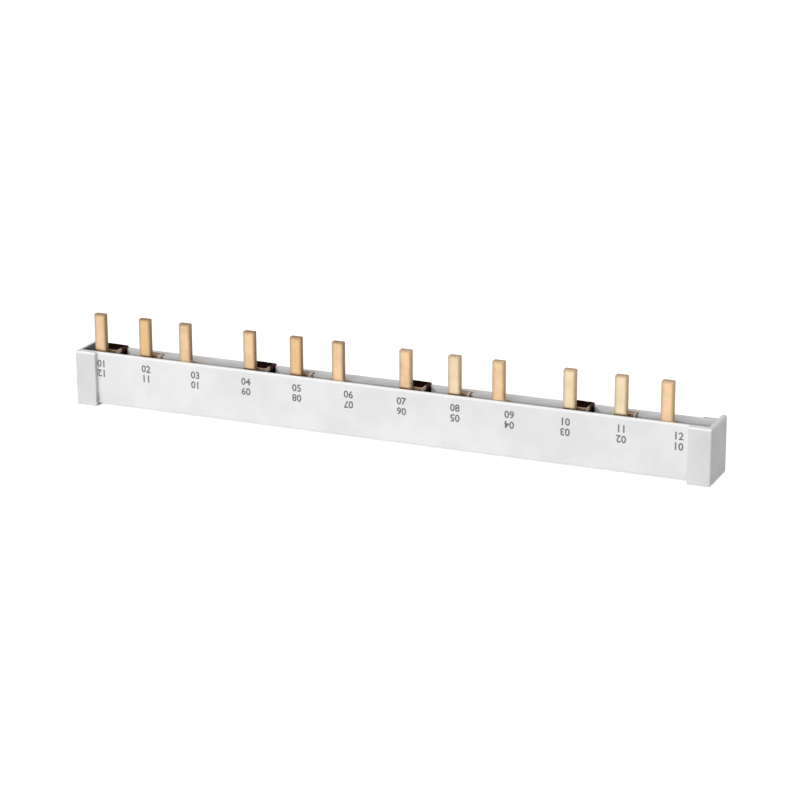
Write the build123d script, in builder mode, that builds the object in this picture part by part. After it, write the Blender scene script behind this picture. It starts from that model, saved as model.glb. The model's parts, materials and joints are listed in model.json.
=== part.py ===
from build123d import *
import os

# Three-phase comb busbar: three copper combs in an insulating channel with a snap-in
# cover strip and two slip-on end caps. Millimetres. The origin is at the middle of the
# underside, +X runs along the row of pins, +Y to the rear and +Z up the pins.

# Pin pattern
DEVICE_COUNT = 4
DEVICE_PITCH = 63.0
POLE_OFFSETS = (0.0, 19.1, 36.1)
FIRST_PIN_MARGIN = 9.7

# Copper combs
COPPER_THICKNESS = 2.0
PIN_WIDTH = 4.5
PIN_RISE = 14.6
TIP_CHAMFER = 0.25
BAR_HEIGHT = 10.0
BAR_SETBACK = 1.3
ROOT_SIDES = (5.6, 4.2, 5.0)
BEND_RADIUS = 0.6
STRAP_LIFT = 0.4
FLARE_LIFT = 0.8
PIN_CLEARANCE = 0.1

# Insulating channel
HOUSING_DEPTH = 15.4
HOUSING_HEIGHT = 20.4
FRONT_WALL = 1.0
REAR_WALL = 1.2
FLOOR = 1.2
BARRIER = 1.2
BARRIER_RISE = 2.4
RIB_HEIGHT = 0.8
RIB_CLEARANCE = 0.3
RIB_LEVELS = (0.25, 0.75)
FOOT_RADIUS = 0.5
RIM_RADIUS = 0.25

# Cover strip
DECK_DROP = 0.6
DECK_THICKNESS = 1.2
REAR_RADIUS = 4.2
SKIRT_LAP = 1.0
LAP_THICKNESS = 0.6
LAP_CLEARANCE = 0.1
WINDOW_CLEARANCE = 0.45
WINDOW_RADIUS = 1.0
WINDOW_MOUTHS = (11.0, 7.2)

# End caps
CAP_WALL = 1.5
CAP_END_WALL = 1.6
CAP_FLOOR = 0.9
CAP_LENGTH = 8.5
CAP_CLEARANCE = 0.1
CAP_REAR_DROP = 1.9
CAP_REAR_RADIUS = 1.0
CAP_EDGE_RADIUS = 0.6

# Places that follow from the sizes above
POLE_COUNT = len(POLE_OFFSETS)
TOTAL_LENGTH = DEVICE_PITCH * DEVICE_COUNT
LEFT_END = -TOTAL_LENGTH / 2
RIGHT_END = TOTAL_LENGTH / 2
FIRST_PIN = LEFT_END + FIRST_PIN_MARGIN
HOUSING_LENGTH = TOTAL_LENGTH - 2 * CAP_END_WALL
BAR_END = HOUSING_LENGTH / 2 - BAR_SETBACK
FRONT_FACE = -HOUSING_DEPTH / 2
REAR_FACE = HOUSING_DEPTH / 2
UNDERSIDE = CAP_FLOOR
RIM = UNDERSIDE + HOUSING_HEIGHT
CHAMBER_FLOOR = UNDERSIDE + FLOOR
CHAMBER_WIDTH = (HOUSING_DEPTH - FRONT_WALL - REAR_WALL - 2 * BARRIER) / POLE_COUNT
CHAMBER_FRONTS = [
    FRONT_FACE + FRONT_WALL + pole * (CHAMBER_WIDTH + BARRIER) for pole in range(POLE_COUNT)
]
DECK_FRONT = CHAMBER_FRONTS[1] - BARRIER
BAR_TOP = CHAMBER_FLOOR + BAR_HEIGHT
BARRIER_TOP = BAR_TOP + BARRIER_RISE
PIN_FRONT = FRONT_FACE + FRONT_WALL + PIN_CLEARANCE
PIN_TIP = RIM + PIN_RISE
STRAP_TOP = RIM + STRAP_LIFT
STRAP_UNDERSIDE = STRAP_TOP - COPPER_THICKNESS
DECK_TOP = RIM - DECK_DROP
DECK_UNDERSIDE = DECK_TOP - DECK_THICKNESS
SEAM = DECK_TOP - REAR_RADIUS


def bar_front(pole):
    """Front face of a pole's bar: the third bar lines up with the pins, the others lie mid-chamber."""
    if pole == POLE_COUNT - 1:
        return PIN_FRONT
    chamber = CHAMBER_FRONTS[POLE_COUNT - 1 - pole]
    return chamber + (CHAMBER_WIDTH - COPPER_THICKNESS) / 2


def pin_places(pole):
    """X of each pin of one pole."""
    return [FIRST_PIN + device * DEVICE_PITCH + POLE_OFFSETS[pole] for device in range(DEVICE_COUNT)]


def corner_rectangle(left, bottom, right, top):
    """Rectangle given by its two opposite corners, for sections drawn in the channel's own frame."""
    with Locations((left, bottom)):
        Rectangle(right - left, top - bottom, align=Align.MIN)


def strap_section(pole):
    """Section of a rear bar's strap: it rises from the bar and bends forward as far as the pin's back."""
    bar_face = bar_front(pole)
    bar_back = bar_face + COPPER_THICKNESS
    strap_front = PIN_FRONT + COPPER_THICKNESS
    with BuildSketch() as section:
        with BuildLine():
            FilletPolyline(
                (bar_face, BAR_TOP),
                (bar_face, STRAP_UNDERSIDE),
                (strap_front, STRAP_UNDERSIDE),
                radius=BEND_RADIUS,
            )
            Line((strap_front, STRAP_UNDERSIDE), (strap_front, STRAP_TOP))
            FilletPolyline(
                (strap_front, STRAP_TOP),
                (bar_back, STRAP_TOP),
                (bar_back, BAR_TOP),
                radius=BEND_RADIUS + COPPER_THICKNESS,
            )
            Line((bar_back, BAR_TOP), (bar_face, BAR_TOP))
        make_face()
    return section.sketch


def pin_section(pole):
    """Section of the narrow front end of such a strap, where it turns up into the pin."""
    strap_end = bar_front(pole)
    pin_back = PIN_FRONT + COPPER_THICKNESS
    with BuildSketch() as section:
        with BuildLine():
            FilletPolyline(
                (strap_end, STRAP_UNDERSIDE),
                (PIN_FRONT, STRAP_UNDERSIDE),
                (PIN_FRONT, PIN_TIP),
                radius=BEND_RADIUS + COPPER_THICKNESS,
            )
            Line((PIN_FRONT, PIN_TIP), (pin_back, PIN_TIP))
            FilletPolyline(
                (pin_back, PIN_TIP),
                (pin_back, STRAP_TOP),
                (strap_end, STRAP_TOP),
                radius=BEND_RADIUS,
            )
            Line((strap_end, STRAP_TOP), (strap_end, STRAP_UNDERSIDE))
        make_face()
    return section.sketch


def cranked_tooth(pole):
    """Tooth of a rear bar at X zero: a wide strap over the bars in front, the pin at its left front corner."""
    pin_left = -PIN_WIDTH / 2
    with BuildPart() as tooth:
        with BuildSketch(Plane.YZ.offset(pin_left)):
            add(strap_section(pole))
        extrude(amount=ROOT_SIDES[pole] - pin_left)
        with BuildSketch(Plane.YZ.offset(pin_left)):
            add(pin_section(pole))
        extrude(amount=PIN_WIDTH)
        chamfer(tooth.edges().filter_by(Axis.Y).group_by(Axis.Z)[-1], length=TIP_CHAMFER)
    return tooth.part


def straight_tooth(pole):
    """Tooth of the front bar at X zero: a flat pin whose right side widens towards the bar."""
    pin_left = -PIN_WIDTH / 2
    with BuildPart() as tooth:
        with BuildSketch(Plane.XZ.offset(-PIN_FRONT)):
            with BuildLine():
                Polyline(
                    (pin_left, BAR_TOP),
                    (ROOT_SIDES[pole], BAR_TOP),
                    (PIN_WIDTH / 2, RIM + FLARE_LIFT),
                    (PIN_WIDTH / 2, PIN_TIP),
                    (pin_left, PIN_TIP),
                    close=True,
                )
            make_face()
        extrude(amount=-COPPER_THICKNESS)
        chamfer(tooth.edges().filter_by(Axis.Y).group_by(Axis.Z)[-1], length=TIP_CHAMFER)
    return tooth.part


def comb(pole):
    """One stamped copper comb: a flat bar on edge with one tooth for each device."""
    tooth = straight_tooth(pole) if pole == POLE_COUNT - 1 else cranked_tooth(pole)
    with BuildPart() as copper:
        with BuildSketch(Plane.XY.offset(CHAMBER_FLOOR)):
            corner_rectangle(-BAR_END, bar_front(pole), BAR_END, bar_front(pole) + COPPER_THICKNESS)
        extrude(amount=BAR_HEIGHT)
        with Locations([(place, 0, 0) for place in pin_places(pole)]):
            add(tooth)
    return copper.part


def locating_ribs():
    """Section of the low ribs along the chamber walls that keep each bar upright."""
    for pole in range(POLE_COUNT):
        chamber = CHAMBER_FRONTS[POLE_COUNT - 1 - pole]
        front_rib_end = bar_front(pole) - RIB_CLEARANCE
        rear_rib_start = bar_front(pole) + COPPER_THICKNESS + RIB_CLEARANCE
        for share in RIB_LEVELS:
            level = CHAMBER_FLOOR + BAR_HEIGHT * share
            if front_rib_end > chamber:
                corner_rectangle(chamber, level, front_rib_end, level + RIB_HEIGHT)
            corner_rectangle(rear_rib_start, level, chamber + CHAMBER_WIDTH, level + RIB_HEIGHT)


def window(pole):
    """Plan outline of a cover window at X zero: open to the front, its right side slanting out to the mouth."""
    left = -PIN_WIDTH / 2 - WINDOW_CLEARANCE
    right = ROOT_SIDES[pole] + WINDOW_CLEARANCE
    strap_end = bar_front(pole) - BEND_RADIUS
    back = bar_front(pole) + COPPER_THICKNESS + WINDOW_CLEARANCE
    with BuildSketch() as outline:
        with BuildLine():
            Polyline(
                (left, FRONT_FACE),
                (left, back),
                (right, back),
                (right, strap_end),
                (WINDOW_MOUTHS[pole], DECK_FRONT),
                (WINDOW_MOUTHS[pole], FRONT_FACE),
                close=True,
            )
        make_face()
        fillet(outline.vertices().group_by(Axis.Y)[-1], radius=WINDOW_RADIUS)
    return outline.sketch


def end_cap(outer_x, inward):
    """Slip-on cap, open at the top. The end wall's outer face is at outer_x; lips run inward."""
    front = FRONT_FACE - CAP_CLEARANCE - CAP_WALL
    rear = REAR_FACE + CAP_CLEARANCE + CAP_WALL
    with BuildPart() as cap:
        with BuildSketch(Plane.YZ.offset(outer_x)) as end_wall:
            corner_rectangle(front, 0, rear, RIM)
            top_corners = end_wall.vertices().group_by(Axis.Y)[-1]
            fillet(top_corners.sort_by(Axis.X)[-1], radius=CAP_REAR_RADIUS)
        extrude(amount=inward * CAP_END_WALL)
        with BuildSketch(Plane.YZ.offset(outer_x)) as sleeve:
            corner_rectangle(front, 0, rear, CAP_FLOOR)
            corner_rectangle(front, 0, front + CAP_WALL, RIM)
            corner_rectangle(rear - CAP_WALL, 0, rear, RIM - CAP_REAR_DROP)
        extrude(amount=inward * CAP_LENGTH)
        outer_edges = cap.faces().sort_by(Axis.X)[0 if inward > 0 else -1].edges()
        fillet(outer_edges, radius=CAP_EDGE_RADIUS)
    return cap.part


# Insulating channel: an extruded section with three chambers, its front wall proud of the deck
with BuildPart() as housing:
    with BuildSketch(Plane.YZ.offset(-HOUSING_LENGTH / 2)) as channel_section:
        corner_rectangle(FRONT_FACE, UNDERSIDE, REAR_FACE, CHAMBER_FLOOR)
        corner_rectangle(FRONT_FACE, UNDERSIDE, FRONT_FACE + FRONT_WALL, RIM)
        corner_rectangle(REAR_FACE - REAR_WALL, UNDERSIDE, REAR_FACE, SEAM - SKIRT_LAP)
        lap_face = REAR_FACE - LAP_THICKNESS - LAP_CLEARANCE
        corner_rectangle(REAR_FACE - REAR_WALL, UNDERSIDE, lap_face, SEAM - LAP_CLEARANCE)
        for chamber_front in CHAMBER_FRONTS[1:]:
            corner_rectangle(chamber_front - BARRIER, UNDERSIDE, chamber_front, BARRIER_TOP)
        locating_ribs()
        fillet(channel_section.vertices().group_by(Axis.Y)[0], radius=FOOT_RADIUS)
        fillet(channel_section.vertices().group_by(Axis.Y)[-1], radius=RIM_RADIUS)
    extrude(amount=HOUSING_LENGTH)
housing.part.label = "housing"
export_parts = [housing.part]

# Cover strip: a deck with a rounded rear shoulder and two legs that stand on the barriers
with BuildPart() as cover:
    with BuildSketch(Plane.YZ.offset(-HOUSING_LENGTH / 2)) as cover_section:
        with BuildLine():
            shoulder = REAR_FACE - REAR_RADIUS
            inner_radius = REAR_RADIUS - DECK_THICKNESS
            Line((DECK_FRONT, DECK_UNDERSIDE), (DECK_FRONT, DECK_TOP))
            Line((DECK_FRONT, DECK_TOP), (shoulder, DECK_TOP))
            RadiusArc((shoulder, DECK_TOP), (REAR_FACE, SEAM), REAR_RADIUS)
            Line((REAR_FACE, SEAM), (REAR_FACE - REAR_WALL, SEAM))
            RadiusArc((REAR_FACE - REAR_WALL, SEAM), (shoulder, DECK_UNDERSIDE), -inner_radius)
            Line((shoulder, DECK_UNDERSIDE), (DECK_FRONT, DECK_UNDERSIDE))
        make_face()
        corner_rectangle(REAR_FACE - LAP_THICKNESS, SEAM - SKIRT_LAP, REAR_FACE, SEAM)
        for chamber_front in CHAMBER_FRONTS[1:]:
            corner_rectangle(chamber_front - BARRIER, BARRIER_TOP, chamber_front, DECK_UNDERSIDE)
    extrude(amount=HOUSING_LENGTH)
    for pole in range(POLE_COUNT - 1):
        with BuildSketch(Plane.XY.offset(BARRIER_TOP)):
            with Locations([(place, 0) for place in pin_places(pole)]):
                add(window(pole))
        extrude(amount=PIN_TIP, mode=Mode.SUBTRACT)
    with BuildSketch(Plane.XY.offset(BARRIER_TOP)):
        first_window_back = bar_front(0) + COPPER_THICKNESS + WINDOW_CLEARANCE
        corner_rectangle(-HOUSING_LENGTH / 2, FRONT_FACE, FIRST_PIN, first_window_back)
    extrude(amount=PIN_TIP, mode=Mode.SUBTRACT)
cover.part.label = "cover_strip"
export_parts.append(cover.part)

for pole in range(POLE_COUNT):
    bar = comb(pole)
    bar.label = f"comb_phase_{pole + 1}"
    export_parts.append(bar)

for side_name, outer_x, inward in (("left", LEFT_END, 1), ("right", RIGHT_END, -1)):
    cap = end_cap(outer_x, inward)
    cap.label = f"end_cap_{side_name}"
    export_parts.append(cap)

os.makedirs("parts", exist_ok=True)
for piece in export_parts:
    export_step(piece, f"parts/{piece.label}.step")
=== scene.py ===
import json
import math

import bpy
from bpy.props import FloatProperty, FloatVectorProperty, IntProperty, PointerProperty
from mathutils import Matrix, Vector

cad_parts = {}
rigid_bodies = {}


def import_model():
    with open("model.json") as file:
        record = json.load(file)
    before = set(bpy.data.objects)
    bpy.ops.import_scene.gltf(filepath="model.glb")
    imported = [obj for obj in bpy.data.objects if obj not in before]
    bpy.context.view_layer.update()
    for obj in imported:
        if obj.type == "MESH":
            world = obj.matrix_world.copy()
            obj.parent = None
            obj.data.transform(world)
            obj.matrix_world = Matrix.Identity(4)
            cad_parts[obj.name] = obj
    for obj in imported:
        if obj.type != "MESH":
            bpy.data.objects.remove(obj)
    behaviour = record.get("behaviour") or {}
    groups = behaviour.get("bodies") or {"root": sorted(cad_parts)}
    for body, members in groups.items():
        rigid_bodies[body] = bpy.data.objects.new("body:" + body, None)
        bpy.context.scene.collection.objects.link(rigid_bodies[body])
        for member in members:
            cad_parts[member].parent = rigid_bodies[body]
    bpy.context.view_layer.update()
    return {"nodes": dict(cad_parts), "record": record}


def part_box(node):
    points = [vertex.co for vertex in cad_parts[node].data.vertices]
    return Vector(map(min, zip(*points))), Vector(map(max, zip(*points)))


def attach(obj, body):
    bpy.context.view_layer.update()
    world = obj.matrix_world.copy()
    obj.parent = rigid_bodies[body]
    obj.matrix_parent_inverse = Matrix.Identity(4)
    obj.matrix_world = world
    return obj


bl_info = {
    "name": "Comb busbar finishes",
    "version": (1, 0, 0),
    "blender": (4, 5, 0),
    "location": "View3D > Sidebar > Busbar",
    "description": "Dresses a three-phase comb busbar: plastics, copper, printed pin numbers and studio",
    "category": "Object",
}

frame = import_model()

MM = 0.001
MOUNTS = {mount["name"]: mount["pos_m"] for mount in frame["record"]["mounts"]}
DEVICES = sum(name.startswith("pin_") and name.endswith("_1") for name in MOUNTS)
POLES = sum(name.startswith("pin_1_") for name in MOUNTS)
FIRST_PIN = MOUNTS["pin_1_1"]
DEVICE_PITCH = MOUNTS["pin_2_1"][0] - FIRST_PIN[0]
CHANNEL_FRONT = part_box("housing")[0].y
CHANNEL_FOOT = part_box("housing")[0].z
CHANNEL_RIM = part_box("housing")[1].z
DECK_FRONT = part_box("cover_strip")[0].y
LEFT_CAP_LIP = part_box("end_cap_left")[1].x
PIN_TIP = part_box("comb_phase_1")[1].z
PIN_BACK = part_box(f"comb_phase_{POLES}")[1].y
BODY = "root"


# Settings that a user may change

class ChannelFinish(bpy.types.PropertyGroup):
    colour: FloatVectorProperty(
        name="Channel colour",
        description="Light grey of the extruded channel and its cover strip",
        subtype="COLOR", size=3, min=0.0, max=1.0, default=(0.79, 0.79, 0.80),
    )
    roughness: FloatProperty(
        name="Roughness",
        description="Roughness of the satin plastic",
        subtype="FACTOR", min=0.0, max=1.0, default=0.42,
    )
    # painted shade: how far into the slots and hollows the plastic is drawn darker
    shade_reach: FloatProperty(
        name="Shade reach",
        description="How far into the slots the plastic gets darker",
        unit="LENGTH", min=0.0, default=8.0 * MM,
    )
    slot_shade: FloatProperty(
        name="Slot shade",
        description="Share of its colour that the channel loses deep in a slot",
        subtype="FACTOR", min=0.0, max=1.0, default=0.85,
    )
    deck_slot_shade: FloatProperty(
        name="Deck slot shade",
        description="Share of its colour that the cover strip loses at its windows and its front edge",
        subtype="FACTOR", min=0.0, max=1.0, default=0.3,
    )
    # painted shade: width over which the deck is drawn darker towards the front slot
    deck_fade: FloatProperty(
        name="Deck fade",
        description="Width over which the deck gets darker towards the front slot",
        unit="LENGTH", min=0.1 * MM, default=8.0 * MM,
    )
    deck_colour: FloatVectorProperty(
        name="Deck colour",
        description="Lighter grey of the cover strip's rear half",
        subtype="COLOR", size=3, min=0.0, max=1.0, default=(0.86, 0.86, 0.86),
    )
    # painted shade: share of the deck's colour taken away at the front slot
    deck_dark: FloatProperty(
        name="Deck dark",
        description="Share of its colour that the deck loses at the front slot",
        subtype="FACTOR", min=0.0, max=1.0, default=0.38,
    )
    # painted highlight: the paler band stands for light caught by the top edges
    rim_width: FloatProperty(
        name="Rim width",
        description="Height of the paler band along the top edges of the front wall and the caps",
        unit="LENGTH", min=0.1 * MM, default=1.2 * MM,
    )


class CapFinish(bpy.types.PropertyGroup):
    colour: FloatVectorProperty(
        name="Cap colour",
        description="Warmer, slightly darker grey of the two end caps",
        subtype="COLOR", size=3, min=0.0, max=1.0, default=(0.70, 0.69, 0.695),
    )
    roughness: FloatProperty(
        name="Roughness",
        description="Roughness of the moulded caps",
        subtype="FACTOR", min=0.0, max=1.0, default=0.5,
    )
    inner_shade: FloatProperty(
        name="Inner shade",
        description="Share of its colour that a face loses where it looks into the channel",
        subtype="FACTOR", min=0.0, max=1.0, default=0.75,
    )


class CopperFinish(bpy.types.PropertyGroup):
    face_colour: FloatVectorProperty(
        name="Rolled face",
        description="Peach colour of the copper sheet's rolled faces",
        subtype="COLOR", size=3, min=0.0, max=1.0, default=(0.60, 0.42, 0.255),
    )
    straw_colour: FloatVectorProperty(
        name="Paler pins",
        description="Straw colour that a comb's sheet turns to towards its right end",
        subtype="COLOR", size=3, min=0.0, max=1.0, default=(0.643, 0.52, 0.345),
    )
    amber_colour: FloatVectorProperty(
        name="Yellower pins",
        description="Amber colour that a comb's sheet turns to towards its left end",
        subtype="COLOR", size=3, min=0.0, max=1.0, default=(0.596, 0.404, 0.205),
    )
    paler_from: FloatVectorProperty(
        name="Paler from",
        description="Place along the channel where each comb's sheet turns to the straw colour",
        unit="LENGTH", size=3, default=(41.0 * MM, -3.0 * MM, 200.0 * MM),
    )
    yellower_to: FloatVectorProperty(
        name="Yellower to",
        description="Place along the channel up to which each comb's sheet has the amber colour",
        unit="LENGTH", size=3, default=(-200.0 * MM, -3.0 * MM, -200.0 * MM),
    )
    tone_blend: FloatProperty(
        name="Tone blend",
        description="Half the length over which the sheet's colour changes",
        unit="LENGTH", min=0.1 * MM, default=15.0 * MM,
    )
    # the cut-edge browns are also painted shade on the pins' side and top faces
    cut_colour: FloatVectorProperty(
        name="Cut edge",
        description="Brown of the sheared edges",
        subtype="COLOR", size=3, min=0.0, max=1.0, default=(0.295, 0.194, 0.117),
    )
    pale_cut_colour: FloatVectorProperty(
        name="Paler cut edge",
        description="Lighter brown of the sheared edges on the channel's right half",
        subtype="COLOR", size=3, min=0.0, max=1.0, default=(0.43, 0.31, 0.21),
    )
    cut_paler_from: FloatProperty(
        name="Cut paler from",
        description="Place along the channel where the sheared edges turn to the lighter brown",
        unit="LENGTH", default=0.0,
    )
    # painted highlight: pale colour of the strap edges where light catches them, level with the deck
    strap_edge_colour: FloatVectorProperty(
        name="Strap edge",
        description="Pinkish grey of the straps' cut edges, level with the deck",
        subtype="COLOR", size=3, min=0.0, max=1.0, default=(0.90, 0.76, 0.68),
    )
    # painted shade: the maroon and near-black colours below darken the copper down in the channel, and on
    # the straps' tops stand for their dark reflection
    deep_colour: FloatVectorProperty(
        name="Tarnish",
        description="Near black of the most tarnished copper, down in the channel",
        subtype="COLOR", size=3, min=0.0, max=1.0, default=(0.02, 0.007, 0.006),
    )
    maroon_colour: FloatVectorProperty(
        name="Light tarnish",
        description="Maroon of the less tarnished copper",
        subtype="COLOR", size=3, min=0.0, max=1.0, default=(0.12, 0.045, 0.028),
    )
    tarnish_rise: FloatVectorProperty(
        name="Tarnish rise",
        description="How far above the channel's rim the dark tarnish of each comb begins",
        unit="LENGTH", size=3, default=(-0.4 * MM, 0.5 * MM, -0.6 * MM),
    )
    tarnish_strength: FloatVectorProperty(
        name="Tarnish strength",
        description="How strongly each comb is tarnished",
        size=3, min=0.0, max=1.0, default=(1.0, 0.25, 0.45),
    )
    # painted highlight: where the strap edge's highlight begins, right of each pin
    strap_start: FloatProperty(
        name="Strap start",
        description="How far right of a pin's middle the pale edge of its strap begins",
        unit="LENGTH", min=0.0, default=2.7 * MM,
    )
    # share of the painted strap-edge highlight that full painted shade takes away
    edge_dulling: FloatProperty(
        name="Edge dulling",
        description="Share of the strap edges' pale colour that full tarnish takes away",
        subtype="FACTOR", min=0.0, max=1.0, default=0.4,
    )
    burr_height: FloatProperty(
        name="Burr height",
        description="Height of the dark sheared band below each pin's tip",
        unit="LENGTH", min=0.0, default=0.9 * MM,
    )
    roughness: FloatProperty(
        name="Roughness",
        description="Roughness of the rolled faces",
        subtype="FACTOR", min=0.0, max=1.0, default=0.34,
    )


class PinNumbers(bpy.types.PropertyGroup):
    height: FloatProperty(
        name="Digit height",
        description="Height of a printed digit",
        unit="LENGTH", min=0.1 * MM, default=2.8 * MM,
    )
    advance: FloatProperty(
        name="Digit advance",
        description="Distance between the middles of the two digits of a number",
        unit="LENGTH", min=0.1 * MM, default=1.9 * MM,
    )
    boldness: FloatProperty(
        name="Boldness",
        description="How far each digit's outline is widened",
        unit="LENGTH", min=0.0, default=0.06 * MM,
    )
    first_offset: FloatProperty(
        name="First offset",
        description="Distance from a device's first pin to the middle of its first number",
        unit="LENGTH", default=-1.0 * MM,
    )
    spacing: FloatProperty(
        name="Spacing",
        description="Distance between the numbers of one device",
        unit="LENGTH", min=1.0 * MM, default=20.95 * MM,
    )
    cap_distance: FloatProperty(
        name="Cap distance",
        description="Least distance from the left cap's lip to the middle of a number",
        unit="LENGTH", min=0.0, default=2.0 * MM,
    )
    upper_row: FloatProperty(
        name="Upper row",
        description="Height of the middle of the upright row",
        unit="LENGTH", default=16.85 * MM,
    )
    lower_row: FloatProperty(
        name="Lower row",
        description="Height of the middle of the row that is printed upside down",
        unit="LENGTH", default=13.0 * MM,
    )
    thickness: FloatProperty(
        name="Ink thickness",
        description="How far the ink stands off the channel",
        unit="LENGTH", min=0.001 * MM, default=0.03 * MM,
    )
    colour: FloatVectorProperty(
        name="Ink colour",
        description="Dark grey of the printed digits",
        subtype="COLOR", size=3, min=0.0, max=1.0, default=(0.11, 0.11, 0.115),
    )


class StudioSettings(bpy.types.PropertyGroup):
    turn: FloatProperty(
        name="Camera turn",
        description="How far the camera stands to the right of straight ahead",
        subtype="ANGLE", default=math.radians(23.478),
    )
    tilt: FloatProperty(
        name="Camera tilt",
        description="How far the camera looks down",
        subtype="ANGLE", default=math.radians(17.276),
    )
    roll: FloatProperty(
        name="Camera roll",
        description="Turn about the line of sight",
        subtype="ANGLE", default=math.radians(-0.196),
    )
    camera_place: FloatVectorProperty(
        name="Camera place",
        description="Where the camera stands",
        subtype="TRANSLATION", size=3, default=(0.3722, -0.8458, 0.3014),
    )
    lens: FloatProperty(
        name="Lens",
        description="Focal length in millimetres on a 36 mm wide sensor",
        min=10.0, default=118.79,
    )
    key_power: FloatProperty(
        name="Key light",
        description="Power of the large soft light in front",
        subtype="POWER", min=0.0, default=20.0,
    )
    sky: FloatProperty(
        name="Room light",
        description="Strength of the even light from all round",
        min=0.0, default=0.45,
    )
    floor_radius: FloatProperty(
        name="Floor radius",
        description="Radius of the pale floor",
        unit="LENGTH", min=0.5, default=6.0,
    )
    floor_sides: IntProperty(
        name="Floor sides",
        description="Number of sides of the floor's outline",
        min=12, default=96,
    )


# Helpers for objects and node trees

NOISE_ROUGHNESS = 0.55
NOISE_RANGE = (0.3, 0.7)  # most of a noise's values lie between these two
FINE_DETAIL = 1.0
MIX_COLOUR_INPUTS = (6, 7)  # the mix node's sockets for its two colours
MIX_COLOUR_OUTPUT = 2
ROUNDING_SAMPLES = 4
FLAT_COSINE = 0.995  # cosine of the turn of the normal up to which a face counts as flat
EDGE_COSINE = 0.80  # and from which it is nothing but edge


def plain_object(name, data):
    """Links a new object with this data to the scene."""
    made = bpy.data.objects.new(name, data)
    bpy.context.scene.collection.objects.link(made)
    return made


def add_node(tree, kind, values=None, links=None, **settings):
    """Adds a node, sets its settings and unlinked inputs, and links its other inputs."""
    made = tree.nodes.new(kind)
    for name, value in settings.items():
        setattr(made, name, value)
    for socket, value in (values or {}).items():
        made.inputs[socket].default_value = value
    for socket, source in (links or {}).items():
        tree.links.new(source, made.inputs[socket])
    return made


def math_node(tree, operation, first, second=None):
    """Output of a maths node whose two operands are numbers or outputs."""
    made = tree.nodes.new("ShaderNodeMath")
    made.operation = operation
    for index, operand in enumerate((first, second)):
        if operand is None:
            continue
        if isinstance(operand, (int, float)):
            made.inputs[index].default_value = operand
        else:
            tree.links.new(operand, made.inputs[index])
    return made.outputs[0]


def chain(tree, operation, *operands):
    """Output of one maths operation carried through all the operands, such as their product."""
    result = operands[0]
    for operand in operands[1:]:
        result = math_node(tree, operation, result, operand)
    return result


def axes(tree, vector):
    """The X, Y and Z outputs of a vector."""
    return add_node(tree, "ShaderNodeSeparateXYZ", links={0: vector}).outputs


def ramp(tree, value, start, end, low=0.0, high=1.0):
    """Output that goes smoothly from low to high while value goes from start to end."""
    made = add_node(
        tree, "ShaderNodeMapRange",
        values={"From Min": start, "From Max": end, "To Min": low, "To Max": high},
        links={"Value": value},
        interpolation_type="SMOOTHSTEP",
    )
    return made.outputs["Result"]


def mix_colour(tree, factor, first, second):
    """Output of a colour mix; a colour may be a fixed one or an output."""
    made = tree.nodes.new("ShaderNodeMix")
    made.data_type = "RGBA"
    tree.links.new(factor, made.inputs["Factor"])
    for index, colour in zip(MIX_COLOUR_INPUTS, (first, second)):
        if isinstance(colour, bpy.types.NodeSocket):
            tree.links.new(colour, made.inputs[index])
        else:
            made.inputs[index].default_value = (*colour, 1.0)
    return made.outputs[MIX_COLOUR_OUTPUT]


def noise(tree, place, size, detail=2.0, stretch=(1.0, 1.0, 1.0)):
    """Noise whose features are about size metres across, stretched along an axis by a factor."""
    scaled = add_node(
        tree, "ShaderNodeMapping",
        values={"Scale": tuple(1.0 / factor for factor in stretch)},
        links={"Vector": place},
    )
    made = add_node(
        tree, "ShaderNodeTexNoise",
        values={"Scale": 1.0 / size, "Detail": detail, "Roughness": NOISE_ROUGHNESS},
        links={"Vector": scaled.outputs[0]},
    )
    return made.outputs["Fac"]


def empty_tree(owner):
    """The cleared node tree of a material or a world."""
    owner.use_nodes = True
    owner.node_tree.nodes.clear()
    return owner.node_tree


def new_material(name):
    """Material with its tree, its shader and the node that gives its object coordinates."""
    material = bpy.data.materials.new(name)
    tree = empty_tree(material)
    shader = tree.nodes.new("ShaderNodeBsdfPrincipled")
    output = tree.nodes.new("ShaderNodeOutputMaterial")
    tree.links.new(shader.outputs[0], output.inputs["Surface"])
    place = tree.nodes.new("ShaderNodeTexCoord")
    return material, tree, shader, place


def give_material(node, material):
    """The CAD node wears this one material."""
    slots = frame["nodes"][node].data.materials
    slots.clear()
    slots.append(material)


def edge_factor(tree, radius, full=EDGE_COSINE):
    """1 on sharp edges and 0 on flat faces, and the normal of a rounding of that radius.

    The factor reaches 1 where the cosine of the angle between that normal and the face's is full.
    """
    rounded = add_node(tree, "ShaderNodeBevel", values={"Radius": radius}, samples=ROUNDING_SAMPLES)
    flat = tree.nodes.new("ShaderNodeNewGeometry")
    cosine = add_node(
        tree, "ShaderNodeVectorMath",
        links={0: rounded.outputs[0], 1: flat.outputs["True Normal"]},
        operation="DOT_PRODUCT",
    )
    return ramp(tree, cosine.outputs["Value"], FLAT_COSINE, full), rounded.outputs[0]


def add_relief(tree, shader, height, strength, depth, normal):
    """Gives the shader a faint relief, from a pattern of heights over a normal."""
    bump = add_node(
        tree, "ShaderNodeBump",
        values={"Strength": strength, "Distance": depth},
        links={"Height": height, "Normal": normal},
    )
    tree.links.new(bump.outputs[0], shader.inputs["Normal"])


# Plastic of the channel, the cover strip and the caps

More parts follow.
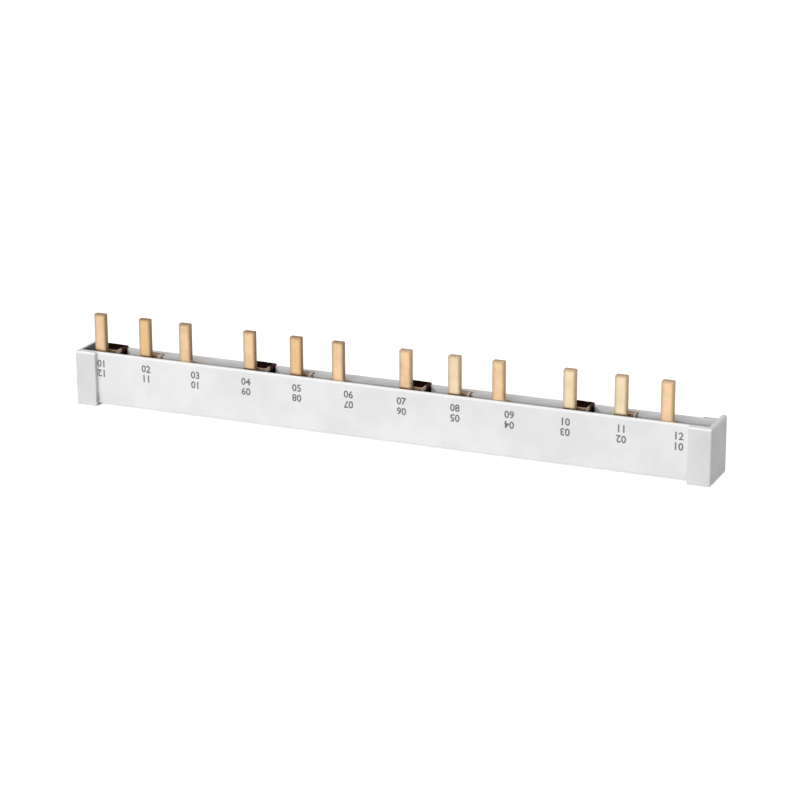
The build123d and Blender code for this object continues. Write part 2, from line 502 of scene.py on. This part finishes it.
MOTTLE_SIZE = 14 * MM
MOTTLE_DETAIL = 3.0
MOTTLE_DARK = 0.94
MOTTLE_LIGHT = 1.02
LINE_SIZE = 0.35 * MM
LINE_DEPTH = 0.02 * MM
LINE_STRENGTH = 0.12
EXTRUDED_STRETCH = 60.0  # how many times longer than wide the lines of an extruded piece are
MOULDED_STRETCH = 1.0
WORN_AND_LIT_EDGE = 0.25 * MM
WEAR_AND_HIGHLIGHT_SHARE = 0.35
WORN_AND_HIGHLIGHT_COLOUR = (0.9, 0.9, 0.9)
HOLLOW_SHADE_COLOUR = (0.03, 0.026, 0.026)
HOLLOW_SAMPLES = 8
HOLLOW_OPENNESS = 0.54  # open share of the view from a place, below which painted shade makes the place darker
DEEPEST_OPENNESS = 0.12  # and at which it is as dark as it gets
FOOT_CLEAR = 0.4 * MM  # height above the channel's foot up to which there is no such shade
FOOT_SHADED = 1.2 * MM  # and from which it is full
SHEEN_SIZE = 5 * MM
SMOOTHER_BY = 0.05
ROUGHER_BY = 0.07
PLASTIC_IOR = 1.49
CHANNEL_RIM_HIGHLIGHT_GREY = 0.90
CAP_RIM_HIGHLIGHT_GREY = 0.92
RIM_HIGHLIGHT_FULL_SHARE = 0.4  # share of the painted rim highlight's width, from the top, that has its full colour
FRONT_SLOT_SHADE_COLOUR = (0.12, 0.12, 0.12)
INWARD_TURN = (-0.4, -0.8)  # outward part of the normal over which a cap's face turns inwards
LIP_BLEND = 0.3 * MM
CAP_INSIDE_SHADE_COLOUR = (0.06, 0.06, 0.065)


def plastic(name, colour, roughness, line_stretch, shade, tint):
    """Satin plastic with faint mottling, fine lines along its length, painted highlight and shade by place,
    and painted shade in its hollows.

    The painted shade of the hollows is given as its reach and the share of the colour that it takes away.
    """
    shade_reach, shade_share = shade
    material, tree, shader, place = new_material(name)
    where = place.outputs["Object"]
    spot = axes(tree, where)
    facing = axes(tree, place.outputs["Normal"])
    mottle = noise(tree, where, MOTTLE_SIZE, detail=MOTTLE_DETAIL)
    lines = noise(tree, where, LINE_SIZE, detail=FINE_DETAIL, stretch=(line_stretch, 1.0, 1.0))
    edge, rounded = edge_factor(tree, WORN_AND_LIT_EDGE)

    dark = tuple(MOTTLE_DARK * channel for channel in colour)
    light = tuple(min(1.0, MOTTLE_LIGHT * channel) for channel in colour)
    body_colour = mix_colour(tree, ramp(tree, mottle, *NOISE_RANGE), dark, light)
    tinted = tint(tree, spot, facing, body_colour)
    # paler edges: partly wear, partly a painted highlight along the edges
    worn_and_highlit = mix_colour(tree, math_node(tree, "MULTIPLY", edge, WEAR_AND_HIGHLIGHT_SHARE), tinted, WORN_AND_HIGHLIGHT_COLOUR)
    # painted shade: where little of the view around a place is open, its colour turns towards near black
    hollow = add_node(
        tree, "ShaderNodeAmbientOcclusion", values={"Distance": shade_reach}, samples=HOLLOW_SAMPLES,
    )
    depth = ramp(tree, hollow.outputs["AO"], HOLLOW_OPENNESS, DEEPEST_OPENNESS)
    above_foot = ramp(tree, spot["Z"], CHANNEL_FOOT + FOOT_CLEAR, CHANNEL_FOOT + FOOT_SHADED)
    painted_shade_loss = chain(tree, "MULTIPLY", depth, above_foot, shade_share)
    tree.links.new(mix_colour(tree, painted_shade_loss, worn_and_highlit, HOLLOW_SHADE_COLOUR), shader.inputs["Base Color"])

    sheen = noise(tree, where, SHEEN_SIZE)
    uneven = ramp(tree, sheen, *NOISE_RANGE, roughness - SMOOTHER_BY, roughness + ROUGHER_BY)
    tree.links.new(uneven, shader.inputs["Roughness"])
    shader.inputs["IOR"].default_value = PLASTIC_IOR
    add_relief(tree, shader, lines, LINE_STRENGTH, LINE_DEPTH, rounded)
    return material


def pale_rim(tree, spot, colour, rim_width, grey):
    """The colour, turning to a pale grey towards the height of the channel's rim: a painted highlight on
    the top edges.
    """
    near = ramp(tree, spot["Z"], CHANNEL_RIM - rim_width, CHANNEL_RIM - RIM_HIGHLIGHT_FULL_SHARE * rim_width)
    return mix_colour(tree, near, colour, (grey, grey, grey))


def rim_tint(settings):
    """Tint of the channel: its front wall's top edge is paler, a painted highlight."""
    def tint(tree, spot, facing, colour):
        return pale_rim(tree, spot, colour, settings.rim_width, CHANNEL_RIM_HIGHLIGHT_GREY)
    return tint


def deck_tint(settings):
    """Tint of the cover strip: painted shade makes it darker towards the slot behind the front wall."""
    def tint(tree, spot, facing, colour):
        near = ramp(tree, spot["Y"], DECK_FRONT + settings.deck_fade, DECK_FRONT)
        shade_mix = math_node(tree, "MULTIPLY", near, settings.deck_dark)
        return mix_colour(tree, shade_mix, colour, FRONT_SLOT_SHADE_COLOUR)
    return tint


def cap_tint(settings, rim_width):
    """Tint of the end caps: a painted highlight along the top, and painted shade on the end walls' faces
    inside the channel.
    """
    def tint(tree, spot, facing, colour):
        highlit_top = pale_rim(tree, spot, colour, rim_width, CAP_RIM_HIGHLIGHT_GREY)
        # painted shade on the faces that look into the channel, behind the front lip
        outward = math_node(tree, "MULTIPLY", facing["X"], math_node(tree, "SIGN", spot["X"]))
        inward = ramp(tree, outward, *INWARD_TURN)
        behind_lip = ramp(tree, spot["Y"], CHANNEL_FRONT, CHANNEL_FRONT + LIP_BLEND)
        shade_mix = chain(tree, "MULTIPLY", inward, behind_lip, settings.inner_shade)
        return mix_colour(tree, shade_mix, highlit_top, CAP_INSIDE_SHADE_COLOUR)
    return tint


# Copper of the combs

SHEET_ROUNDING = 0.2 * MM
SHADED_EDGE_WIDTH = 2.0 * MM  # width along a face's edges over which painted shade makes it darker
SHADED_EDGE_COSINE = 0.88
EDGE_SHADE_TONE = 0.42
CLOUD_SIZE = 4 * MM
CLOUD_DETAIL = 4.0
CLOUD_LIGHT = 1.08
GRAIN_SIZE = 0.12 * MM
GRAIN_DEPTH = 0.01 * MM
GRAIN_STRENGTH = 0.2
GRAIN_STRETCH = 40.0
CUT_FACING = (0.4, 0.8)  # sideways or upward part of the normal over which a face turns to a cut one, whose brown is also painted shade
STRAP_SIDE_TOP = 0.6 * MM  # height above the rim below which a side belongs to a strap
STRAP_SIDE_FULL = 0.4 * MM  # and below which its colour is full
SHADED_BEHIND = 1.0 * MM  # place across the channel behind which a strap's side has no light
LIT_BEFORE = -2.0 * MM  # and in front of which it is fully lit
STRAP_START_BLEND = 0.4 * MM
SHADE_BLEND = 0.4 * MM
SIDE_SHADE_TOP = 1.0 * MM  # depth below the rim at which a pin's side begins to get painted shade
SIDE_SHADE_FULL = 1.8 * MM  # and at which the painted shade is full
REAR_SIDE_SHADE = 0.8
STRAP_TOP_START = 0.2 * MM  # distance behind the front comb's pins at which the straps' painted shade and painted dark reflection begin
STRAP_TOP_FULL = 0.8 * MM  # and at which they are full
MAROON_SHADE_STAGE = 0.6  # painted shade at which copper is all maroon and begins to turn black
BARE_SPECULAR = 0.5
COPPER_SMOOTHER_BY = 0.06
COPPER_ROUGHER_BY = 0.08
DULL_ROUGHER_BY = 0.25


def rolled_face(tree, spot, cloud, settings, pole):
    """Colour of the rolled faces: cloudy, straw to the right, amber to the left, with painted shade along
    the edges.
    """
    warm = settings.face_colour
    pale = tuple(CLOUD_LIGHT * channel for channel in warm)
    edge_shaded = tuple(EDGE_SHADE_TONE * channel for channel in warm)
    blend = settings.tone_blend
    paler_from = settings.paler_from[pole]
    yellower_to = settings.yellower_to[pole]
    paler = ramp(tree, spot["X"], paler_from - blend, paler_from + blend)
    yellower = ramp(tree, spot["X"], yellower_to + blend, yellower_to - blend)
    edge_shade = edge_factor(tree, SHADED_EDGE_WIDTH, full=SHADED_EDGE_COSINE)[0]
    face = mix_colour(tree, ramp(tree, cloud, *NOISE_RANGE), warm, pale)
    face = mix_colour(tree, paler, face, settings.straw_colour)
    face = mix_colour(tree, yellower, face, settings.amber_colour)
    return mix_colour(tree, edge_shade, face, edge_shaded)


def cut_edge(tree, spot, settings):
    """Brown of the sheared edges, which is lighter on the channel's right half; on side and top faces this
    brown is also painted shade.
    """
    blend = settings.tone_blend
    lighter = ramp(tree, spot["X"], settings.cut_paler_from - blend, settings.cut_paler_from + blend)
    return mix_colour(tree, lighter, settings.cut_colour, settings.pale_cut_colour)


def strap_edge_share(tree, spot, strap_side, lit, settings, pole):
    """How much painted highlight the strap edges get: right of each pin, less on a comb with more painted
    shade.
    """
    half_pitch = DEVICE_PITCH / 2
    group_start = MOUNTS[f"pin_1_{pole + 1}"][0] - half_pitch
    from_start = math_node(tree, "SUBTRACT", spot["X"], group_start)
    in_group = math_node(tree, "MODULO", from_start, DEVICE_PITCH)
    start = half_pitch + settings.strap_start
    past_pin = ramp(tree, in_group, start, start + STRAP_START_BLEND)
    highlight_share = 1.0 - settings.edge_dulling * settings.tarnish_strength[pole]
    return chain(tree, "MULTIPLY", strap_side, lit, past_pin, highlight_share)


def tarnish_share(tree, spot, side, strap_side, lit, settings, pole):
    """Painted shade, with a painted dark reflection on the straps' tops: 0 on bright copper, and up to the
    comb's strength down in the channel and on its straps.
    """
    dark_below = CHANNEL_RIM + settings.tarnish_rise[pole]
    low_face = ramp(tree, spot["Z"], dark_below + SHADE_BLEND, dark_below - SHADE_BLEND)
    strap_top = ramp(tree, spot["Y"], PIN_BACK + STRAP_TOP_START, PIN_BACK + STRAP_TOP_FULL)
    not_side = math_node(tree, "SUBTRACT", 1.0, side)
    dark_face = math_node(tree, "MULTIPLY", math_node(tree, "MAXIMUM", low_face, strap_top), not_side)
    low_side = ramp(tree, spot["Z"], CHANNEL_RIM - SIDE_SHADE_TOP, CHANNEL_RIM - SIDE_SHADE_FULL)
    unlit = math_node(tree, "SUBTRACT", REAR_SIDE_SHADE, lit)
    rear_side = math_node(tree, "MULTIPLY", strap_side, unlit)
    shade_before_strength = chain(tree, "MAXIMUM", dark_face, low_side, rear_side)
    return math_node(tree, "MULTIPLY", shade_before_strength, settings.tarnish_strength[pole])


def copper(name, settings, pole):
    """Rolled copper sheet with sheared brown edges, rolling lines, and painted shade down in the channel
    and on the straps.
    """
    material, tree, shader, place = new_material(name)
    where = place.outputs["Object"]
    spot = axes(tree, where)
    facing = axes(tree, place.outputs["Normal"])
    rounded = edge_factor(tree, SHEET_ROUNDING)[1]
    cloud = noise(tree, where, CLOUD_SIZE, detail=CLOUD_DETAIL)
    grain = noise(tree, where, GRAIN_SIZE, detail=FINE_DETAIL, stretch=(1.0, 1.0, GRAIN_STRETCH))

    # side and top faces are drawn brown: sheared copper, and painted shade of faces turned away from the
    # light
    side = ramp(tree, math_node(tree, "ABSOLUTE", facing["X"]), *CUT_FACING)
    upward = ramp(tree, facing["Z"], *CUT_FACING)
    burr = ramp(tree, spot["Z"], PIN_TIP - settings.burr_height, PIN_TIP)
    sheared_and_shaded = chain(tree, "MAXIMUM", side, upward, burr)
    strap_level = ramp(tree, spot["Z"], CHANNEL_RIM + STRAP_SIDE_TOP, CHANNEL_RIM + STRAP_SIDE_FULL)
    strap_side = math_node(tree, "MULTIPLY", side, strap_level)
    lit = ramp(tree, spot["Y"], SHADED_BEHIND, LIT_BEFORE)

    face = rolled_face(tree, spot, cloud, settings, pole)
    bright = mix_colour(tree, sheared_and_shaded, face, cut_edge(tree, spot, settings))
    strap_highlight = strap_edge_share(tree, spot, strap_side, lit, settings, pole)
    bright = mix_colour(tree, strap_highlight, bright, settings.strap_edge_colour)
    copper_shade = tarnish_share(tree, spot, side, strap_side, lit, settings, pole)
    maroon_shaded = mix_colour(tree, ramp(tree, copper_shade, 0.0, MAROON_SHADE_STAGE), bright, settings.maroon_colour)
    deep_shaded = mix_colour(tree, ramp(tree, copper_shade, MAROON_SHADE_STAGE, 1.0), maroon_shaded, settings.deep_colour)
    tree.links.new(deep_shaded, shader.inputs["Base Color"])

    # where shade is painted, the copper is drawn dull and without metal, so that it stays dark
    unshaded = math_node(tree, "SUBTRACT", 1.0, copper_shade)
    specular = math_node(tree, "MULTIPLY", unshaded, BARE_SPECULAR)
    base = settings.roughness
    rough = ramp(tree, cloud, *NOISE_RANGE, base - COPPER_SMOOTHER_BY, base + COPPER_ROUGHER_BY)
    dulled = math_node(tree, "MAXIMUM", sheared_and_shaded, copper_shade)
    rougher = math_node(tree, "MULTIPLY", dulled, DULL_ROUGHER_BY)
    tree.links.new(unshaded, shader.inputs["Metallic"])
    tree.links.new(specular, shader.inputs["Specular IOR Level"])
    tree.links.new(math_node(tree, "ADD", rough, rougher), shader.inputs["Roughness"])
    add_relief(tree, shader, grain, GRAIN_STRENGTH, GRAIN_DEPTH, rounded)
    return material


# Printed numbers

BLOT_SIZE = 0.4 * MM
BLOT_RANGE = (0.35, 0.7)  # the part of the blots' noise over which the ink gets thinner
INK_THINNING = 0.10
INK_ROUGHNESS = 0.65
DIGIT_CURVE_STEPS = 4
ROWS = 2
FIGURES = 2  # digits in a number
BASE = 10
WELD_DISTANCE = 0.001 * MM


def ink(settings):
    """Matt printing ink, a little uneven."""
    material, tree, shader, place = new_material("printing_ink")
    blot = ramp(tree, noise(tree, place.outputs["Object"], BLOT_SIZE), *BLOT_RANGE)
    thin = tuple(channel + INK_THINNING for channel in settings.colour)
    tree.links.new(mix_colour(tree, blot, settings.colour, thin), shader.inputs["Base Color"])
    shader.inputs["Roughness"].default_value = INK_ROUGHNESS
    return material


def digit_template(digit, settings):
    """Closed mesh of one bold digit, its back on the XY plane and its middle at the origin."""
    text = bpy.data.curves.new("digit_outline", "FONT")
    text.body = str(digit)
    text.size = settings.height
    text.offset = settings.boldness
    text.extrude = settings.thickness / 2
    text.resolution_u = DIGIT_CURVE_STEPS
    holder = plain_object("digit_outline", text)
    graph = bpy.context.evaluated_depsgraph_get()
    mesh = bpy.data.meshes.new_from_object(holder.evaluated_get(graph))
    bpy.data.objects.remove(holder)
    low = [min(point.co[axis] for point in mesh.vertices) for axis in range(3)]
    high = [max(point.co[axis] for point in mesh.vertices) for axis in range(3)]
    middle = ((low[0] + high[0]) / 2, (low[1] + high[1]) / 2, low[2])
    stretch = settings.height / (high[1] - low[1])
    mesh.transform(Matrix.Diagonal((stretch, stretch, 1.0, 1.0)) @ Matrix.Translation(middle).inverted())
    mesh.materials.clear()
    return bpy.data.objects.new(f"digit_{digit}", mesh)


def whole_part(tree, first, second):
    """Output of a division, rounded down."""
    return math_node(tree, "FLOOR", math_node(tree, "DIVIDE", first, second))


def either(tree, choice, first, second):
    """Output that is the first number where choice is 0 and the second where it is 1."""
    step = math_node(tree, "MULTIPLY", choice, math_node(tree, "SUBTRACT", second, first))
    return math_node(tree, "ADD", first, step)


def which_digit(tree, pin, pins, row, place):
    """The digit to print: tens or units of the pin's number, which counts back in the lower row."""
    forward = math_node(tree, "ADD", pin, 1)
    backward = math_node(tree, "SUBTRACT", pins, pin)
    number = either(tree, row, forward, backward)
    tens = whole_part(tree, number, BASE)
    units = math_node(tree, "MODULO", number, BASE)
    shows_units = math_node(tree, "ABSOLUTE", math_node(tree, "SUBTRACT", place, row))
    return either(tree, shows_units, tens, units)


def digit_spot(tree, given, pin, row, place):
    """Where a digit stands: by its device and its pole, left or right in its number, and by its row."""
    first = axes(tree, given["First Number"])
    device = whole_part(tree, pin, given["Poles"])
    pole = math_node(tree, "MODULO", pin, given["Poles"])
    to_device = math_node(tree, "MULTIPLY", device, given["Device Pitch"])
    to_number = math_node(tree, "MULTIPLY", pole, given["Spacing"])
    along = math_node(tree, "ADD", to_device, to_number)
    middle = math_node(tree, "MAXIMUM", math_node(tree, "ADD", first["X"], along), given["Least Place"])
    from_middle = math_node(tree, "SUBTRACT", place, (FIGURES - 1) / 2)
    shift = math_node(tree, "MULTIPLY", from_middle, given["Advance"])
    drop = math_node(tree, "MULTIPLY", row, given["Lower Row Drop"])
    spot = add_node(tree, "ShaderNodeCombineXYZ", links={
        "X": math_node(tree, "ADD", middle, shift),
        "Y": first["Y"],
        "Z": math_node(tree, "SUBTRACT", first["Z"], drop),
    })
    return spot.outputs[0]


def number_tree():
    """Geometry Nodes: two rows of two-digit numbers, the lower one upside down and counting back."""
    tree = bpy.data.node_groups.new("pin_numbers", "GeometryNodeTree")
    tree.interface.new_socket(name="Geometry", in_out="OUTPUT", socket_type="NodeSocketGeometry")
    inputs = {
        "Digits": "Collection", "Devices": "Int", "Poles": "Int", "Device Pitch": "Float",
        "First Number": "Vector", "Spacing": "Float", "Least Place": "Float",
        "Lower Row Drop": "Float", "Advance": "Float", "Ink": "Material",
    }
    for name, kind in inputs.items():
        tree.interface.new_socket(name=name, in_out="INPUT", socket_type="NodeSocket" + kind)
    given = tree.nodes.new("NodeGroupInput").outputs
    digits = add_node(
        tree, "GeometryNodeCollectionInfo", values={"Separate Children": True, "Reset Children": True},
        links={"Collection": given["Digits"]},
    )

    index = tree.nodes.new("GeometryNodeInputIndex").outputs[0]
    row = math_node(tree, "MODULO", index, ROWS)
    place = math_node(tree, "MODULO", whole_part(tree, index, ROWS), FIGURES)
    pin = whole_part(tree, index, ROWS * FIGURES)
    pins = math_node(tree, "MULTIPLY", given["Devices"], given["Poles"])
    digit = which_digit(tree, pin, pins, row, place)
    spot = digit_spot(tree, given, pin, row, place)
    turn = add_node(
        tree, "ShaderNodeCombineXYZ", values={"X": math.pi / 2},
        links={"Y": math_node(tree, "MULTIPLY", row, math.pi)},
    )
    count = math_node(tree, "MULTIPLY", pins, ROWS * FIGURES)
    points = add_node(tree, "GeometryNodePoints", links={"Count": count, "Position": spot})
    placed = add_node(
        tree, "GeometryNodeInstanceOnPoints", values={"Pick Instance": True},
        links={
            "Points": points.outputs[0], "Instance": digits.outputs[0],
            "Instance Index": digit, "Rotation": turn.outputs[0],
        },
    )
    real = add_node(tree, "GeometryNodeRealizeInstances", links={0: placed.outputs[0]})
    closed = add_node(
        tree, "GeometryNodeMergeByDistance", values={"Distance": WELD_DISTANCE}, links={0: real.outputs[0]},
    )
    inked = add_node(
        tree, "GeometryNodeSetMaterial", links={"Geometry": closed.outputs[0], "Material": given["Ink"]},
    )
    add_node(tree, "NodeGroupOutput", links={0: inked.outputs[0]})
    return tree


def plain_mesh_from_tree(name, tree, values):
    """Runs a Geometry Nodes tree on an empty mesh and keeps its result as a plain mesh object."""
    base = plain_object(name + "_base", bpy.data.meshes.new(name + "_base"))
    modifier = base.modifiers.new(name, "NODES")
    modifier.node_group = tree
    sockets = {
        item.name: item.identifier for item in tree.interface.items_tree
        if item.item_type == "SOCKET" and item.in_out == "INPUT"
    }
    for key, value in values.items():
        modifier[sockets[key]] = value
    graph = bpy.context.evaluated_depsgraph_get()
    mesh = bpy.data.meshes.new_from_object(base.evaluated_get(graph))
    base.modifiers.remove(modifier)
    bpy.data.objects.remove(base)
    mesh.name = name
    return plain_object(name, mesh)


# Operators

class BUSBAR_OT_finish_channel(bpy.types.Operator):
    """Gives the channel and its cover strip their light-grey extruded plastic"""
    bl_idname = "busbar.finish_channel"
    bl_label = "Finish channel"

    def execute(self, context):
        settings = context.scene.busbar_channel
        wall_shade = (settings.shade_reach, settings.slot_shade)
        deck_shade = (settings.shade_reach, settings.deck_slot_shade)
        looks = (
            ("housing", "channel_plastic", settings.colour, wall_shade, rim_tint(settings)),
            ("cover_strip", "cover_plastic", settings.deck_colour, deck_shade, deck_tint(settings)),
        )
        for node, name, colour, shade, tint in looks:
            material = plastic(name, colour, settings.roughness, EXTRUDED_STRETCH, shade, tint)
            give_material(node, material)
        return {"FINISHED"}


class BUSBAR_OT_finish_caps(bpy.types.Operator):
    """Gives the two end caps their moulded plastic"""
    bl_idname = "busbar.finish_caps"
    bl_label = "Finish end caps"

    def execute(self, context):
        settings = context.scene.busbar_caps
        channel = context.scene.busbar_channel
        tint = cap_tint(settings, channel.rim_width)
        shade = (channel.shade_reach, channel.slot_shade)
        material = plastic("cap_plastic", settings.colour, settings.roughness, MOULDED_STRETCH, shade, tint)
        for node in ("end_cap_left", "end_cap_right"):
            give_material(node, material)
        return {"FINISHED"}


class BUSBAR_OT_finish_combs(bpy.types.Operator):
    """Gives the three combs their stamped copper"""
    bl_idname = "busbar.finish_combs"
    bl_label = "Finish combs"

    def execute(self, context):
        settings = context.scene.busbar_copper
        for pole in range(POLES):
            material = copper(f"copper_phase_{pole + 1}", settings, pole)
            give_material(f"comb_phase_{pole + 1}", material)
        return {"FINISHED"}


class BUSBAR_OT_print_numbers(bpy.types.Operator):
    """Prints the pin numbers on the channel's front, upright and upside down"""
    bl_idname = "busbar.print_numbers"
    bl_label = "Print pin numbers"

    def execute(self, context):
        settings = context.scene.busbar_numbers
        digits = bpy.data.collections.new("digits")
        for digit in range(BASE):
            digits.objects.link(digit_template(digit, settings))
        piece = plain_mesh_from_tree("pin_numbers", number_tree(), {
            "Digits": digits,
            "Devices": DEVICES,
            "Poles": POLES,
            "Device Pitch": DEVICE_PITCH,
            "First Number": (FIRST_PIN[0] + settings.first_offset, CHANNEL_FRONT, settings.upper_row),
            "Spacing": settings.spacing,
            "Least Place": LEFT_CAP_LIP + settings.cap_distance,
            "Lower Row Drop": settings.upper_row - settings.lower_row,
            "Advance": settings.advance,
            "Ink": ink(settings),
        })
        for template in list(digits.objects):
            bpy.data.objects.remove(template)
        bpy.data.collections.remove(digits)
        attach(piece, BODY)
        return {"FINISHED"}


class BUSBAR_OT_set_stage(bpy.types.Operator):
    """Sets up the pale floor, the soft lights and the camera"""
    bl_idname = "busbar.set_stage"
    bl_label = "Set the stage"

    def execute(self, context):
        settings = context.scene.busbar_studio
        make_floor(settings)
        make_world(settings)
        make_lights(settings)
        make_camera(settings)
        context.scene.view_settings.view_transform = "Standard"
        return {"FINISHED"}


class BUSBAR_PT_sidebar(bpy.types.Panel):
    """Buttons and settings of the comb busbar"""
    bl_idname = "BUSBAR_PT_sidebar"
    bl_label = "Comb busbar"
    bl_space_type = "VIEW_3D"
    bl_region_type = "UI"
    bl_category = "Busbar"

    def draw(self, context):
        layout = self.layout
        for operator, group in STEPS:
            box = layout.box()
            box.operator(operator)
            settings = getattr(context.scene, group)
            for name in settings.__annotations__:
                box.prop(settings, name)


# Stage

WHITE = (1.0, 1.0, 1.0, 1.0)
FLOOR_PAPER = (0.8, 0.8, 0.8, 1.0)
FLOOR_GLOW = 0.7
SOFTBOX_WIDTH = 1.6
SOFTBOX_HEIGHT = 1.0
SOFTBOX_PLACE = (-0.35, -1.6, 0.6)
SOFTBOX_TARGET = (0.0, 0.0, 0.01)
SENSOR_WIDTH = 36.0  # in millimetres, as a camera's data has it


def background_ray(tree):
    """1 for rays that should see the white background: camera, glossy and transmission rays."""
    path = tree.nodes.new("ShaderNodeLightPath").outputs
    rays = (path["Is Camera Ray"], path["Is Glossy Ray"], path["Is Transmission Ray"])
    return chain(tree, "MAXIMUM", *rays)


def make_floor(settings):
    """Round pale floor; what sees it directly also sees a glow that lifts it to white."""
    mesh = bpy.data.meshes.new("studio_floor")
    corners = []
    for corner in range(settings.floor_sides):
        angle = 2 * math.pi * corner / settings.floor_sides
        corner_x = settings.floor_radius * math.cos(angle)
        corner_y = settings.floor_radius * math.sin(angle)
        corners.append((corner_x, corner_y, 0.0))
    mesh.from_pydata(corners, [], [tuple(range(settings.floor_sides))])
    floor = plain_object("studio_floor", mesh)
    material = bpy.data.materials.new("floor_paper")
    tree = empty_tree(material)
    paper = add_node(tree, "ShaderNodeBsdfDiffuse", values={"Color": FLOOR_PAPER})
    glow = add_node(tree, "ShaderNodeEmission", values={"Color": WHITE, "Strength": FLOOR_GLOW})
    both = add_node(tree, "ShaderNodeAddShader", links={0: paper.outputs[0], 1: glow.outputs[0]})
    seen = add_node(
        tree, "ShaderNodeMixShader",
        links={0: background_ray(tree), 1: paper.outputs[0], 2: both.outputs[0]},
    )
    add_node(tree, "ShaderNodeOutputMaterial", links={"Surface": seen.outputs[0]})
    mesh.materials.append(material)


def make_world(settings):
    """Even room light; what sees the background directly sees white."""
    world = bpy.data.worlds.new("studio")
    tree = empty_tree(world)
    room = add_node(tree, "ShaderNodeBackground", values={"Color": WHITE, "Strength": settings.sky})
    white = add_node(tree, "ShaderNodeBackground", values={"Color": WHITE, "Strength": 1.0})
    seen = add_node(
        tree, "ShaderNodeMixShader",
        links={0: background_ray(tree), 1: room.outputs[0], 2: white.outputs[0]},
    )
    add_node(tree, "ShaderNodeOutputWorld", links={"Surface": seen.outputs[0]})
    bpy.context.scene.world = world


def aimed_matrix(place, target):
    """Matrix of a lamp at place whose beam points at target."""
    direction = Vector(target) - Vector(place)
    return Matrix.Translation(place) @ direction.to_track_quat("-Z", "Y").to_matrix().to_4x4()


def make_lights(settings):
    """One large soft light in front, a little above and to the left."""
    lamp = bpy.data.lights.new("front_softbox", "AREA")
    lamp.shape = "RECTANGLE"
    lamp.size = SOFTBOX_WIDTH
    lamp.size_y = SOFTBOX_HEIGHT
    lamp.energy = settings.key_power
    softbox = plain_object("front_softbox", lamp)
    softbox.matrix_world = aimed_matrix(SOFTBOX_PLACE, SOFTBOX_TARGET)


def make_camera(settings):
    """Camera at the photograph's viewing angle."""
    data = bpy.data.cameras.new("photo_camera")
    data.sensor_width = SENSOR_WIDTH
    data.lens = settings.lens
    camera = plain_object("photo_camera", data)
    turn = (
        Matrix.Rotation(settings.turn, 4, "Z")
        @ Matrix.Rotation(math.pi / 2 - settings.tilt, 4, "X")
        @ Matrix.Rotation(settings.roll, 4, "Z")
    )
    camera.matrix_world = Matrix.Translation(settings.camera_place) @ turn
    bpy.context.scene.camera = camera


# Registration

GROUPS = {
    "busbar_channel": ChannelFinish,
    "busbar_caps": CapFinish,
    "busbar_copper": CopperFinish,
    "busbar_numbers": PinNumbers,
    "busbar_studio": StudioSettings,
}
OPERATORS = (
    BUSBAR_OT_finish_channel,
    BUSBAR_OT_finish_caps,
    BUSBAR_OT_finish_combs,
    BUSBAR_OT_print_numbers,
    BUSBAR_OT_set_stage,
)
STEPS = tuple(zip((operator.bl_idname for operator in OPERATORS), GROUPS))


def register():
    for group in GROUPS.values():
        bpy.utils.register_class(group)
    for name, group in GROUPS.items():
        setattr(bpy.types.Scene, name, PointerProperty(type=group))
    for operator in OPERATORS:
        bpy.utils.register_class(operator)
    bpy.utils.register_class(BUSBAR_PT_sidebar)


def unregister():
    bpy.utils.unregister_class(BUSBAR_PT_sidebar)
    for operator in reversed(OPERATORS):
        bpy.utils.unregister_class(operator)
    for name, group in reversed(GROUPS.items()):
        delattr(bpy.types.Scene, name)
        bpy.utils.unregister_class(group)


def main():
    """Registers the add-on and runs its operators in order."""
    register()
    bpy.ops.busbar.finish_channel()
    bpy.ops.busbar.finish_caps()
    bpy.ops.busbar.finish_combs()
    bpy.ops.busbar.print_numbers()
    bpy.ops.busbar.set_stage()


if __name__ == "__main__":
    main()
